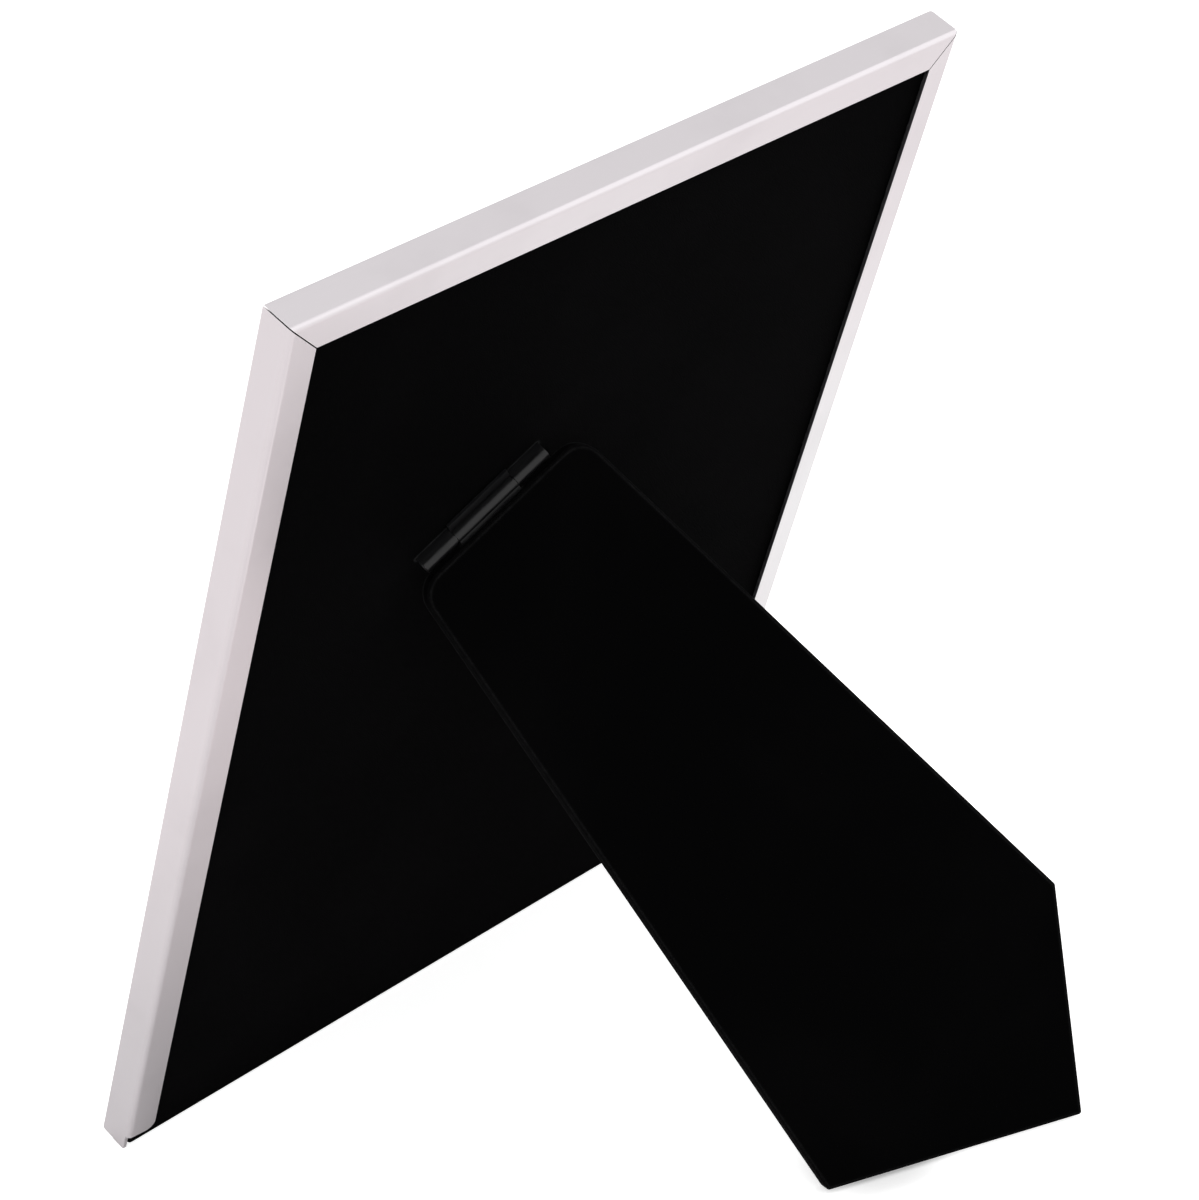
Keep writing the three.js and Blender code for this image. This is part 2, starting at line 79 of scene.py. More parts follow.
lens = bpy.data.cameras.new("photo_camera")
lens.lens = LENS_MM
lens.sensor_width = 36
lens.clip_start = 10 * MM
camera = bpy.data.objects.new("photo_camera", lens)
looking = (CAMERA_AIM - CAMERA_PLACE).to_track_quat("-Z", "Y").to_matrix().to_4x4()
camera.matrix_world = Matrix.Translation(CAMERA_PLACE) @ looking @ Matrix.Rotation(CAMERA_ROLL, 4, "Z")
bpy.context.collection.objects.link(camera)
bpy.context.scene.camera = camera
print("camera to aim:", round((CAMERA_AIM - CAMERA_PLACE).length, 3), "m")

# %% [markdown]
# The frame leans back and the strut leans out, so neither lies along the world's axes. The two joints
# tell where they are: the back slides down the picture, and the strut turns about its hinge. From these
# come two sets of axes, one for the picture and one for the strut, in which each board is flat with its
# velvet face at the low end of z.

# %% Axes of the picture and of the strut
joints = {joint["name"]: joint for joint in frame["joints"]}
RAILS = ("top_rail", "left_rail", "right_rail", "bottom_rail")


def spread(name, direction):
    """The lowest and the highest place of a solid along a direction."""
    places = [vertex.co.dot(direction) for vertex in solids[name].data.vertices]
    return min(places), max(places)


def axes_at(place, x, y, z):
    """A matrix that takes points from local axes to the world."""
    return Matrix.Translation(place) @ Matrix((x, y, z)).transposed().to_4x4()


across = Vector((1, 0, 0))
upward = -Vector(joints["back_slide"]["axis"]).normalized()
frontward = across.cross(upward)
bottom = min(spread(rail, upward)[0] for rail in RAILS)
back = min(spread(rail, frontward)[0] for rail in RAILS)
picture_axes = axes_at(upward * bottom + frontward * back, across, upward, frontward)

fold = joints["strut_fold"]
hinge_line = Vector(fold["axis"]).normalized()
hinge_axes = axes_at(Vector(fold["pos_m"]), hinge_line, frontward.cross(hinge_line), frontward)
strut_axes = hinge_axes @ Matrix.Rotation(-math.radians(fold["range_deg"][1]), 4, "X")
print("lean:", round(math.degrees(math.atan2(upward.y, upward.z)), 2), "degrees")

# %% [markdown]
# Materials are made of nodes. A few small helpers keep the node code short. They add a node and fill its
# inputs, with a value or with a link from another node, do sums, mix colours, step smoothly from one
# level to another, look up noise, and start a group.

# %% Helpers for nodes


def add_node(tree, kind, inputs=None, **settings):
    """A new node with its settings and inputs. An input takes a value or another node's output."""
    node = tree.nodes.new(kind)
    for name, value in settings.items():
        setattr(node, name, value)
    for name, value in (inputs or {}).items():
        if isinstance(value, bpy.types.NodeSocket):
            tree.links.new(value, node.inputs[name])
        else:
            node.inputs[name].default_value = value
    return node


def calculate(tree, operation, first, second=0.0, limit=False):
    """The output of a sum of two values."""
    node = add_node(tree, "ShaderNodeMath", {0: first, 1: second}, operation=operation, use_clamp=limit)
    return node.outputs[0]


def mean_of(tree, first, second):
    """The output of the mean of two values."""
    return calculate(tree, "MULTIPLY", calculate(tree, "ADD", first, second), 0.5)


def mix_colours(tree, share, first, second):
    """The output of a mix of two colours, by a share from 0 to 1."""
    node = add_node(tree, "ShaderNodeMix", {0: share, 6: first, 7: second}, data_type="RGBA")
    return node.outputs[2]


def step_between(tree, value, low, high, low_out=0.0, high_out=1.0):
    """The output of a smooth step of a value from one range to another."""
    limits = {"Value": value, "From Min": low, "From Max": high, "To Min": low_out, "To Max": high_out}
    return add_node(tree, "ShaderNodeMapRange", limits, interpolation_type="SMOOTHSTEP").outputs["Result"]


def noise_at(tree, place, scale, detail=2.0, roughness=0.5):
    """The output of a noise pattern, in repeats to the metre."""
    inputs = {"Vector": place, "Scale": scale, "Detail": detail, "Roughness": roughness}
    return add_node(tree, "ShaderNodeTexNoise", inputs).outputs["Fac"]


def new_group(name, inputs, outputs):
    """A shader node group with named number inputs and outputs: the tree, its inputs and its output node."""
    tree = bpy.data.node_groups.new(name, "ShaderNodeTree")
    for label, kind, value in inputs:
        socket = tree.interface.new_socket(label, in_out="INPUT", socket_type=kind)
        socket.default_value = value
    for label in outputs:
        tree.interface.new_socket(label, in_out="OUTPUT", socket_type="NodeSocketFloat")
    return tree, add_node(tree, "NodeGroupInput").outputs, add_node(tree, "NodeGroupOutput")


NUMBER = "NodeSocketFloat"
VECTOR = "NodeSocketVector"
# Nearly all of a noise pattern lies between these two levels.
NOISE_LOW = 0.3
NOISE_HIGH = 0.7

# %% [markdown]
# Metal that was rolled, brushed or polished along its length has fine lines that way. They are noise that
# is squeezed across the lines and drawn out along them: the part of each point that lies along the rail
# is made much smaller before the noise is looked up. The group gives fine lines and, at a larger scale,
# cloudy patches.

# %% Effect: drawn metal
PATCHES_PER_METRE = 60.0

drawn_metal, given, taken = new_group(
    "drawn_metal",
    [("Along", VECTOR, (1, 0, 0)), ("Lines per Metre", NUMBER, 4000), ("Stretch", NUMBER, 60)],
    ["Lines", "Patches"],
)
point = add_node(drawn_metal, "ShaderNodeTexCoord").outputs["Object"]
length = add_node(drawn_metal, "ShaderNodeVectorMath", {0: point, 1: given["Along"]}, operation="DOT_PRODUCT")
kept = calculate(drawn_metal, "DIVIDE", 1.0, given["Stretch"])
lost = calculate(drawn_metal, "SUBTRACT", kept, 1.0)
shift = calculate(drawn_metal, "MULTIPLY", length.outputs["Value"], lost)
squeeze = add_node(
    drawn_metal, "ShaderNodeVectorMath", {0: given["Along"], "Scale": shift}, operation="SCALE"
)
drawn = add_node(drawn_metal, "ShaderNodeVectorMath", {0: point, 1: squeeze.outputs[0]}, operation="ADD")
lines = noise_at(drawn_metal, drawn.outputs[0], given["Lines per Metre"], detail=3.0, roughness=0.6)
patches = noise_at(drawn_metal, point, PATCHES_PER_METRE, detail=3.0)
drawn_metal.links.new(lines, taken.inputs["Lines"])
drawn_metal.links.new(patches, taken.inputs["Patches"])
print("group:", drawn_metal.name)

# %% [markdown]
# Edges that hands and cloths rub turn brighter and smoother. On the velvet the same edge mask also carries
# a painted sheen. A Bevel node gives the normal that a rounded edge would have. Where it differs from the
# true normal there is an edge, and the more it differs, the sharper the edge. Noise breaks the line up, as
# much as the raggedness says.

# %% Effect: edge wear and sheen
EDGE_STARTS = 0.99
EDGE_FULL = 0.8
BREAKS_PER_METRE = 700.0

edge_wear_and_sheen, given, taken = new_group(
    "edge_wear_and_sheen", [("Width", NUMBER, 0.5 * MM), ("Raggedness", NUMBER, 1.0)], ["Edge"]
)
rounded = add_node(edge_wear_and_sheen, "ShaderNodeBevel", {"Radius": given["Width"]}, samples=6)
true_normal = add_node(edge_wear_and_sheen, "ShaderNodeNewGeometry").outputs["True Normal"]
alike = add_node(
    edge_wear_and_sheen, "ShaderNodeVectorMath", {0: rounded.outputs[0], 1: true_normal}, operation="DOT_PRODUCT"
)
edge = step_between(edge_wear_and_sheen, alike.outputs["Value"], EDGE_STARTS, EDGE_FULL)
point = add_node(edge_wear_and_sheen, "ShaderNodeTexCoord").outputs["Object"]
breaks = noise_at(edge_wear_and_sheen, point, BREAKS_PER_METRE)
least = calculate(edge_wear_and_sheen, "SUBTRACT", 1.0, given["Raggedness"])
unbroken = step_between(edge_wear_and_sheen, breaks, NOISE_LOW, NOISE_HIGH, least)
worn = calculate(edge_wear_and_sheen, "MULTIPLY", edge, unbroken, limit=True)
edge_wear_and_sheen.links.new(worn, taken.inputs["Edge"])
print("group:", edge_wear_and_sheen.name)

# %% [markdown]
# Paper and board are felted fibres: short, pale and dark threads that lie every way. Two sets of
# stretched noise, crossed, give their grain. The height feeds a bump, and the shade changes the colour a
# little.

# %% Effect: felted fibres
THREAD_TURNS = (0.4, 1.9)
THREAD_TILT = 0.3
THREAD_SQUEEZE = (1.0, 0.15, 1.0)
CLOUDS_PER_METRE = 90.0

felted_fibres, given, taken = new_group(
    "felted_fibres", [("Fibres per Metre", NUMBER, 2500)], ["Height", "Shade"]
)
point = add_node(felted_fibres, "ShaderNodeTexCoord").outputs["Object"]
threads = []
for turn in THREAD_TURNS:
    turned = add_node(
        felted_fibres, "ShaderNodeMapping",
        {"Vector": point, "Rotation": (THREAD_TILT, turn, turn), "Scale": THREAD_SQUEEZE},
    )
    threads.append(noise_at(felted_fibres, turned.outputs[0], given["Fibres per Metre"], detail=4.0))
height = mean_of(felted_fibres, *threads)
shade = mean_of(felted_fibres, noise_at(felted_fibres, point, CLOUDS_PER_METRE, detail=3.0), height)
felted_fibres.links.new(height, taken.inputs["Height"])
felted_fibres.links.new(shade, taken.inputs["Shade"])
print("group:", felted_fibres.name)

# %% [markdown]
# A material starts from one Principled shader. The next helper makes it, with its constant values set
# straight on the shader's own sockets, where an exporter can read them. What changes over the surface is
# linked in afterwards. Two more helpers place a group in a material and feed a height into its bump.

# %% Helpers for materials


def new_material(name, **constants):
    """A material with one Principled shader: its tree and the shader. Constants name the shader's sockets."""
    material = bpy.data.materials.new(name)
    material.use_nodes = True
    tree = material.node_tree
    shader = tree.nodes["Principled BSDF"]
    for socket, value in constants.items():
        shader.inputs[socket.replace("_", " ")].default_value = value
    return material, tree, shader


def place_group(tree, group, **values):
    """The outputs of a node group that is placed in a material with values of its own."""
    node = add_node(tree, "ShaderNodeGroup", node_tree=group)
    for name, value in values.items():
        node.inputs[name.replace("_", " ")].default_value = value
    return node.outputs


def bump(tree, shader, height, depth):
    """Feeds a height from 0 to 1 into the shader as a bump of a depth in metres."""
    raised = add_node(tree, "ShaderNodeBump", {"Height": height, "Strength": 1.0, "Distance": depth})
    tree.links.new(raised.outputs["Normal"], shader.inputs["Normal"])


# %% [markdown]
# The channels are thin steel with a satin silver plate. In the photograph they are nearly white, with a
# hint of lavender, so the colour is a pale warm grey and all the shape comes from what the metal mirrors.
# The lines run along each rail, so the upright rails and the level rails have a material each, from one
# function.

# %% Finish: satin silver rails
SILVER = (0.715, 0.678, 0.70, 1)
SILVER_DULL = (0.62, 0.585, 0.605, 1)
SILVER_RUBBED = (0.82, 0.80, 0.82, 1)
SILVER_ROUGH = (0.28, 0.32)
SILVER_EDGE = 0.5 * MM
SILVER_GRAIN = 0.001 * MM
DULL_STARTS = 0.45
DULL_FULL = 0.75
DULL_SHARE = 0.35
RUBBED_SHARE = 0.6
RUBBED_SMOOTHER = 0.06


def satin_silver(name, along):
    """A silver plate with its lines along a direction."""
    material, tree, shader = new_material(name, Metallic=1.0)
    grain = place_group(tree, drawn_metal, Along=along, Lines_per_Metre=5000, Stretch=90)
    edges = place_group(tree, edge_wear_and_sheen, Width=SILVER_EDGE)["Edge"]
    patches = step_between(tree, grain["Patches"], DULL_STARTS, DULL_FULL)
    plate = mix_colours(tree, calculate(tree, "MULTIPLY", patches, DULL_SHARE), SILVER, SILVER_DULL)
    rubbed = calculate(tree, "MULTIPLY", edges, RUBBED_SHARE)
    tree.links.new(mix_colours(tree, rubbed, plate, SILVER_RUBBED), shader.inputs["Base Color"])
    streaks = step_between(tree, grain["Lines"], NOISE_LOW, NOISE_HIGH, *SILVER_ROUGH)
    smoother = calculate(tree, "MULTIPLY", edges, RUBBED_SMOOTHER)
    tree.links.new(calculate(tree, "SUBTRACT", streaks, smoother), shader.inputs["Roughness"])
    bump(tree, shader, grain["Lines"], SILVER_GRAIN)
    return material


level_silver = satin_silver("level_silver", across)
upright_silver = satin_silver("upright_silver", upward)
print("materials:", level_silver.name, upright_silver.name)

# %% [markdown]
# The corner keys, the pin and the rivets are plain steel. They hardly show, but a frame that is taken
# apart shows them, so they get a greyer, duller metal from the same drawn lines.

# %% Finish: plain steel
STEEL_ROUGH = (0.35, 0.55)
STEEL_GRAIN = 0.006 * MM


def plain_steel(name, colour, dark, along):
    """A steel with darker patches and its lines along a direction."""
    material, tree, shader = new_material(name, Metallic=1.0)
    grain = place_group(tree, drawn_metal, Along=along, Lines_per_Metre=2500, Stretch=12)
    tree.links.new(mix_colours(tree, grain["Patches"], colour, dark), shader.inputs["Base Color"])
    streaks = step_between(tree, grain["Lines"], NOISE_LOW, NOISE_HIGH, *STEEL_ROUGH)
    tree.links.new(streaks, shader.inputs["Roughness"])
    bump(tree, shader, grain["Lines"], STEEL_GRAIN)
    return material


key_steel = plain_steel("key_steel", (0.62, 0.62, 0.63, 1), (0.45, 0.45, 0.47, 1), across)
pin_steel = plain_steel("pin_steel", (0.46, 0.46, 0.47, 1), (0.30, 0.30, 0.31, 1), hinge_line)
print("materials:", key_steel.name, pin_steel.name)

# %% [markdown]
# The hinge is stamped steel under black lacquer. Lacquer is a smooth dark film, so its colour is nearly
# black and its gloss does the work: seen at a low angle it mirrors the bright room as the grey strip in
# the photograph. Where the edges are rubbed, the film is thin and greyer.

# %% Finish: black lacquer
LACQUER = (0.004, 0.004, 0.0045, 1)
LACQUER_RUBBED = (0.025, 0.025, 0.027, 1)
LACQUER_ROUGH = (0.30, 0.42)
LACQUER_EDGE = 0.25 * MM
LACQUER_GRAIN = 0.01 * MM
LACQUER_WORN_SHARE = 0.4

hinge_black, tree, shader = new_material("hinge_black", Specular_IOR_Level=0.5)
edges = place_group(tree, edge_wear_and_sheen, Width=LACQUER_EDGE)["Edge"]
thin_film = calculate(tree, "MULTIPLY", edges, LACQUER_WORN_SHARE)
tree.links.new(mix_colours(tree, thin_film, LACQUER, LACQUER_RUBBED), shader.inputs["Base Color"])
film = place_group(tree, drawn_metal, Along=hinge_line, Lines_per_Metre=1500, Stretch=4)
streaks = step_between(tree, film["Lines"], NOISE_LOW, NOISE_HIGH, *LACQUER_ROUGH)
tree.links.new(streaks, shader.inputs["Roughness"])
bump(tree, shader, film["Lines"], LACQUER_GRAIN)
print("material:", hinge_black.name)

# %% [markdown]
# Velvet is a dense, short pile that swallows light: looking into it, it is black, and only where the pile
# leans away does it shine a little. A trace of gloss and of sheen in the Principled shader gives that.
# Noise at the scale of the tufts makes the grain of the pile, and broad noise shows where a hand has
# stroked the nap. Along the boards' edges the colour is paler: partly pile rubbed thin, and partly a painted
# sheen that stands in for light catching the rounded edge. It shows as the faint pale line on the strut's
# upper edge.

# %% Finish: black velvet
VELVET_DEEP = (0.0013, 0.0013, 0.0014, 1)
VELVET_STROKED = (0.0026, 0.0025, 0.0027, 1)
VELVET_WORN_AND_SHEEN = (0.035, 0.035, 0.036, 1)
TUFTS_PER_METRE = 3800.0
PILE_DEPTH = 0.12 * MM
STROKES_PER_METRE = 26.0
STROKE_STARTS = 0.42
STROKE_FULL = 0.72
WORN_AND_SHEEN_WIDTH = 1.0 * MM

black_velvet, tree, shader = new_material(
    "black_velvet", Roughness=0.9, Specular_IOR_Level=0.01,
    Sheen_Weight=0.019, Sheen_Roughness=0.25, Sheen_Tint=(0.80, 0.80, 0.84, 1),
)
point = add_node(tree, "ShaderNodeTexCoord").outputs["Object"]
tufts = noise_at(tree, point, TUFTS_PER_METRE, roughness=0.7)
strokes = noise_at(tree, point, STROKES_PER_METRE, detail=3.0)
stroked = step_between(tree, strokes, STROKE_STARTS, STROKE_FULL)
nap = mix_colours(tree, calculate(tree, "MULTIPLY", stroked, tufts), VELVET_DEEP, VELVET_STROKED)
# Paler edges: partly pile rubbed thin, partly a painted sheen for light catching the rounded edge.
edges = place_group(tree, edge_wear_and_sheen, Width=WORN_AND_SHEEN_WIDTH, Raggedness=0.4)["Edge"]
tree.links.new(mix_colours(tree, edges, nap, VELVET_WORN_AND_SHEEN), shader.inputs["Base Color"])
bump(tree, shader, tufts, PILE_DEPTH)
print("material:", black_velvet.name)

# %% [markdown]
# Behind and inside the velvet are papers and boards. The lining is matt black paper, the insert is a
# blank white sheet, and the boards are raw fibre board. One function makes all three from the felted
# fibres.

# %% Finish: papers and boards


def felted(name, colour, other, fibres, depth, rough):
    """A paper or board in two shades, with its fibres to the metre and the depth of its grain."""
    material, tree, shader = new_material(name, Roughness=rough, Specular_IOR_Level=0.25)
    felt = place_group(tree, felted_fibres, Fibres_per_Metre=fibres)
    tree.links.new(mix_colours(tree, felt["Shade"], colour, other), shader.inputs["Base Color"])
    bump(tree, shader, felt["Height"], depth)
    return material


black_paper = felted(
    "black_paper", (0.012, 0.012, 0.013, 1), (0.032, 0.031, 0.033, 1), fibres=2200, depth=0.05 * MM, rough=0.8
)
white_paper = felted(
    "white_paper", (0.86, 0.85, 0.83, 1), (0.93, 0.92, 0.90, 1), fibres=1800, depth=0.02 * MM, rough=0.75
)
fibre_board = felted(
    "fibre_board", (0.24, 0.17, 0.11, 1), (0.36, 0.27, 0.19, 1), fibres=900, depth=0.06 * MM, rough=0.9
)
print("materials:", black_paper.name, white_paper.name, fibre_board.name)

# %% [markdown]
# The glass is clear, with the faint green that ordinary window glass has. Light can't pass a glass shader
# without much noise, so for the rays that light the paper behind it, it is mixed with a Transparent
# shader.

# %% Finish: clear glass
GLASS_ROUGH = (0.01, 0.05)
SMEARS_PER_METRE = 45.0
SMEAR_STARTS = 0.4
SMEAR_FULL = 0.8

clear_glass, tree, shader = new_material(
    "clear_glass", Base_Color=(0.987, 0.996, 0.991, 1), Transmission_Weight=1.0, IOR=1.52,
)
point = add_node(tree, "ShaderNodeTexCoord").outputs["Object"]
smears = noise_at(tree, point, SMEARS_PER_METRE, detail=4.0)
smeared = step_between(tree, smears, SMEAR_STARTS, SMEAR_FULL, *GLASS_ROUGH)
tree.links.new(smeared, shader.inputs["Roughness"])
see_through = add_node(tree, "ShaderNodeBsdfTransparent", {"Color": (0.965, 0.975, 0.97, 1)})
rays = add_node(tree, "ShaderNodeLightPath").outputs
lighting = calculate(tree, "MAXIMUM", rays["Is Shadow Ray"], rays["Is Diffuse Ray"])
pane = add_node(tree, "ShaderNodeMixShader", {0: lighting, 1: shader.outputs[0], 2: see_through.outputs[0]})
tree.links.new(pane.outputs[0], tree.nodes["Material Output"].inputs["Surface"])
print("material:", clear_glass.name)

# %% [markdown]
# The solids come as loose triangles with flat shading. Five modifiers clean that up without touching the
# meshes: Weld joins the triangles, Decimate clears the lines on flat faces, Bevel takes the razor edge
# off every cut, and a small set of geometry nodes smooths the folds but keeps the real corners. Weighted
# Normal keeps the flat faces flat.

# %% Helpers for the solids
SMOOTH_BELOW = math.radians(35)
FLAT_BELOW = math.radians(0.5)
TOUCHING = 0.001 * MM

smooth_folds = bpy.data.node_groups.new("smooth_folds", "GeometryNodeTree")
for direction in ("INPUT", "OUTPUT"):
    smooth_folds.interface.new_socket("Geometry", in_out=direction, socket_type="NodeSocketGeometry")
given = add_node(smooth_folds, "NodeGroupInput").outputs
taken = add_node(smooth_folds, "NodeGroupOutput")
edge_angle = add_node(smooth_folds, "GeometryNodeInputMeshEdgeAngle").outputs["Unsigned Angle"]
sharp = add_node(smooth_folds, "FunctionNodeCompare", {"A": edge_angle, "B": SMOOTH_BELOW}).outputs[0]
smoothed = add_node(
    smooth_folds, "GeometryNodeSetMeshNormal",
    {"Mesh": given[0], "Remove Custom": True, "Edge Sharpness": sharp}, mode="SHARPNESS",
)
smooth_folds.links.new(smoothed.outputs[0], taken.inputs[0])


def tidy_shading(piece, cut_edge):
    """Joins and smooths a solid's triangles, with its cut edges rounded to a radius."""
    weld = piece.modifiers.new("join_triangles", "WELD")
    weld.merge_threshold = TOUCHING
    flat = piece.modifiers.new("clear_flat_faces", "DECIMATE")
    flat.decimate_type = "DISSOLVE"
    flat.angle_limit = FLAT_BELOW
    if cut_edge:
        soft_edge = piece.modifiers.new("cut_edge", "BEVEL")
        soft_edge.width = cut_edge
        soft_edge.segments = 2
        soft_edge.angle_limit = SMOOTH_BELOW
    piece.modifiers.new("smooth_folds", "NODES").node_group = smooth_folds
    piece.modifiers.new("keep_flat_faces", "WEIGHTED_NORMAL").keep_sharp = True


def dress(names, material, cut_edge=0.0):
    """Gives solids a finish and tidy shading."""
    for name in names:
        solids[name].material_slots[0].material = material
        tidy_shading(solids[name], cut_edge)
    print(material.name, "on", ", ".join(names))


# %% [markdown]
# Now each solid that keeps its shape gets its finish. The rails and leaves are stamped from sheet, so
# their cut edges are rounded a little. Boards and papers are cut with a knife and keep sharper edges.

# %% Dress the solids
CORNERS = ("top_left", "top_right", "bottom_left", "bottom_right")
RIVETS = [f"{leaf}_leaf_rivet_{number}" for leaf in ("back", "strut") for number in (1, 2)]
RAIL_EDGE = 0.12 * MM
KEY_EDGE = 0.1 * MM
HINGE_EDGE = 0.06 * MM

dress(("top_rail", "bottom_rail"), level_silver, RAIL_EDGE)
dress(("left_rail", "right_rail"), upright_silver, RAIL_EDGE)
dress([f"corner_key_{corner}" for corner in CORNERS], key_steel, KEY_EDGE)
dress(("hinge_back_leaf", "hinge_strut_leaf"), hinge_black, HINGE_EDGE)
dress(["hinge_pin", *RIVETS], pin_steel, HINGE_EDGE)
dress(("glass_pane",), clear_glass)
dress(("paper_insert",), white_paper)
dress(("back_lining", "strut_lining"), black_paper)
dress(("back_board", "strut_board"), fibre_board)

# %% [markdown]
# A folded lip springs back a little, so the lips at the back stand open by a few degrees. It shows in
# what they mirror: the open table beside the strut, and not the strut. The solids are square, so a set of
# geometry nodes turns their lips about the lips' middle lines: the free edge moves outward, and the fold
# moves inward as far.

# %% Open the back lips
LIP_SLOPE = math.tan(math.radians(3.5))
LIP_SHEET = 0.8 * MM
LIP_WEB = 1.15 * MM
FOLD = 1.0 * MM
LIP_MIDDLE = 2.45 * MM

open_lips = bpy.data.node_groups.new("open_lips", "GeometryNodeTree")
for direction in ("INPUT", "OUTPUT"):
    open_lips.interface.new_socket("Geometry", in_out=direction, socket_type="NodeSocketGeometry")
given = add_node(open_lips, "NodeGroupInput").outputs
taken = add_node(open_lips, "NodeGroupOutput")
point = add_node(open_lips, "GeometryNodeInputPosition").outputs[0]


def place_along(direction):
    """The output of a point's place along a direction."""
    place = add_node(open_lips, "ShaderNodeVectorMath", {0: point, 1: direction}, operation="DOT_PRODUCT")
    return place.outputs["Value"]


aside = calculate(open_lips, "ABSOLUTE", place_along(across))
from_side = calculate(open_lips, "SUBTRACT", spread("right_rail", across)[1], aside)
from_top = calculate(open_lips, "SUBTRACT", spread("top_rail", upward)[1], place_along(upward))
from_fold = calculate(open_lips, "SUBTRACT", calculate(open_lips, "MINIMUM", from_side, from_top), FOLD)
on_lip = step_between(open_lips, place_along(frontward), back + LIP_SHEET, back + LIP_WEB, 1.0, 0.0)
from_middle = calculate(open_lips, "SUBTRACT", calculate(open_lips, "MAXIMUM", from_fold, 0.0), LIP_MIDDLE)
rise = calculate(open_lips, "MULTIPLY", from_middle, LIP_SLOPE)
opening = calculate(open_lips, "MULTIPLY", rise, on_lip)
outward = add_node(open_lips, "ShaderNodeVectorMath", {0: -frontward, "Scale": opening}, operation="SCALE")
opened = add_node(open_lips, "GeometryNodeSetPosition", {"Geometry": given[0], "Offset": outward.outputs[0]})
open_lips.links.new(opened.outputs[0], taken.inputs[0])

for rail in ("top_rail", "left_rail", "right_rail"):
    solids[rail].modifiers.new("open_lips", "NODES").node_group = open_lips
    solids[rail].modifiers.move(len(solids[rail].modifiers) - 1, 0)
print("lips open by", round(math.degrees(math.atan(LIP_SLOPE)), 1), "degrees")

# %% [markdown]
# A facing is a piece of velvet drawn tight over one face of a board and round its edges. It could be a
# box with rounded edges, but its outline is easier to take from the solid: the hull of the solid's
# points, seen flat, is the edge of the board. Rings of points follow that outline, first up the edge,
# then round it, then across the face to its middle. A Solidify modifier gives the cloth its thickness.

# %% Helpers for the velvet facings
SAME_POINT = 0.01 * MM
EDGE_STEP = 3.0 * MM
EDGE_ARC = 6
FACE_RINGS = 14
RING_SPREAD = 1.1
FACE_INSET = 1.05
SHARPEST_CORNER = 0.3
VELVET_EDGE = 0.5 * MM
CLOTH = 0.35 * MM


def flat_outline(name, axes):
    """The solid's outline in its own axes, with long edges divided, and its lowest and highest level."""
    points = [axes.inverted() @ vertex.co for vertex in solids[name].data.vertices]
    flat = [point.to_2d() for point in points]
    hull = [flat[index] for index in convex_hull_2d(flat)]
    corners = [
        here for before, here in zip(hull[-1:] + hull[:-1], hull) if (here - before).length > SAME_POINT
    ]
    outline = []
    for start, end in zip(corners, corners[1:] + corners[:1]):
        steps = max(1, round((end - start).length / EDGE_STEP))
        outline.extend(start.lerp(end, step / steps) for step in range(steps))
    levels = [point.z for point in points]
    return outline, min(levels), max(levels)


def inside(outline, distance):
    """The outline moved in by a distance. It runs anticlockwise, so its left side is inside."""
    moved = []
    for before, here, after in zip(outline[-1:] + outline[:-1], outline, outline[1:] + outline[:1]):
        ways = [(here - before).normalized(), (after - here).normalized()]
        lefts = [Vector((-way.y, way.x)) for way in ways]
        middle = (lefts[0] + lefts[1]).normalized()
        moved.append(here + middle * (distance / max(SHARPEST_CORNER, middle.dot(lefts[0]))))
    return moved


def facing_rings(outline, face, rim):
    """Rings of points from the rim, up the edge, round it and across the face to its middle."""
    rings = [[point.to_3d() + Vector((0, 0, rim)) for point in outline]]
    for step in range(EDGE_ARC + 1):
        turn = math.pi / 2 * step / EDGE_ARC
        inset = VELVET_EDGE * (1 - math.cos(turn))
        level = face + VELVET_EDGE * (1 - math.sin(turn))
        rings.append([point.to_3d() + Vector((0, 0, level)) for point in inside(outline, inset)])
    border = inside(outline, VELVET_EDGE * FACE_INSET)
    middle = sum(border, Vector((0, 0))) / len(border)
    for step in range(FACE_RINGS):
        share = (step / FACE_RINGS) ** RING_SPREAD
        rings.append([point.lerp(middle, share).to_3d() + Vector((0, 0, face)) for point in border])
    return rings


def mesh_of_rings(name, rings, axes):
    """A mesh object of rings of points, joined by quads and closed in the middle of the last ring."""
    count = len(rings[0])
    points = [axes @ point for ring in rings for point in ring]
    faces = []
    for ring in range(len(rings) - 1):
        for index in range(count):
            after = (index + 1) % count
            faces.append((ring * count + after, ring * count + index,
                          (ring + 1) * count + index, (ring + 1) * count + after))
    last = len(points) - count
    points.append(sum(points[last:], Vector()) / count)
    faces.extend((last + (index + 1) % count, last + index, len(points) - 1) for index in range(count))
    mesh = bpy.data.meshes.new(name)
    mesh.from_pydata(points, [], faces)
    mesh.shade_smooth()
    piece = bpy.data.objects.new(name, mesh)
    bpy.context.collection.objects.link(piece)
    return piece


def area_of(piece):
    """The area of a mesh's faces."""
    mesh = piece.data
    mesh.calc_loop_triangles()
    triangles = [[mesh.vertices[index].co for index in face.vertices] for face in mesh.loop_triangles]
    return sum(area_tri(*triangle) for triangle in triangles)


# %% [markdown]
# The hinge's leaves pass through the velvet in slits. To find a slit, a copy of the leaf is sliced by a
# plane in the thickness of the cloth, and each loop of the slice, with some room round it, becomes a
# small box to cut away.

# %% Helpers for the slits
SLIT_ROOM = 0.15 * MM
SLIT_REACH = 2 * MM


